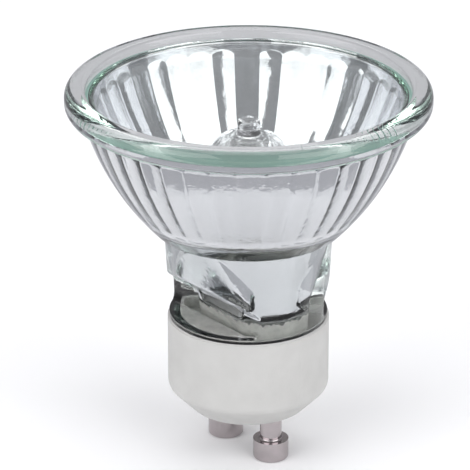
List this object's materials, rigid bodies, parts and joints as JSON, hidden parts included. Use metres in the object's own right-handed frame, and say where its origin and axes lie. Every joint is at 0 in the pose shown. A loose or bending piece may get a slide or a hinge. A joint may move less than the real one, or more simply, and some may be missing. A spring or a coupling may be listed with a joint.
{
  "type": "reflector spotlight bulb with a twist-lock pin base",
  "caption": "Halogen spotlight bulb: fluted silvered glass reflector with a cover glass, a quartz capsule inside, and a white ceramic base with headed contact pins.",
  "frame": {"origin": "on the bulb's own axis, level with the tips of the contact pins", "axes": "+Z along the bulb's axis, from the pins towards the cover glass; X runs through both pins; the notches in the neck face +Y and -Y"},
  "size_m": [0.0506, 0.0506, 0.0545],
  "materials": {
    "clear_glass": "clear pressed glass with a faint green tint, silvered inside the bowl and the neck",
    "cover_clear_glass": "polished clear glass",
    "clear_seal": "clear glassy adhesive",
    "quartz": "fire-polished clear quartz",
    "white_ceramic": "matte off-white steatite, slightly mottled",
    "white_cement": "dry white lamp cement",
    "nickel_plated_metal": "polished nickel plating",
    "tungsten": "drawn dark grey wire",
    "molybdenum": "bright drawn wire and foil",
    "glass_fibre": "braided sleeve",
    "copper_alloy": "bare drawn wire"
  },
  "bodies": {
    "root": {"reflector": "clear_glass", "cover_glass": "cover_clear_glass", "cover_seal": "clear_seal", "capsule_envelope": "quartz", "base_shell": "white_ceramic", "base_cement": "white_cement", "capsule_cement": "white_cement", "contact_pin_a": "nickel_plated_metal", "contact_pin_b": "nickel_plated_metal", "filament": "tungsten", "inner_lead_short": "molybdenum", "inner_lead_long": "molybdenum", "foil_a": "molybdenum", "foil_b": "molybdenum", "outer_lead_a": "molybdenum", "outer_lead_b": "molybdenum", "insulating_sleeve_a": "glass_fibre", "insulating_sleeve_b": "glass_fibre", "fuse_link": "copper_alloy", "fuse_ferrule": "nickel_plated_metal"}
  },
  "joints": []
}
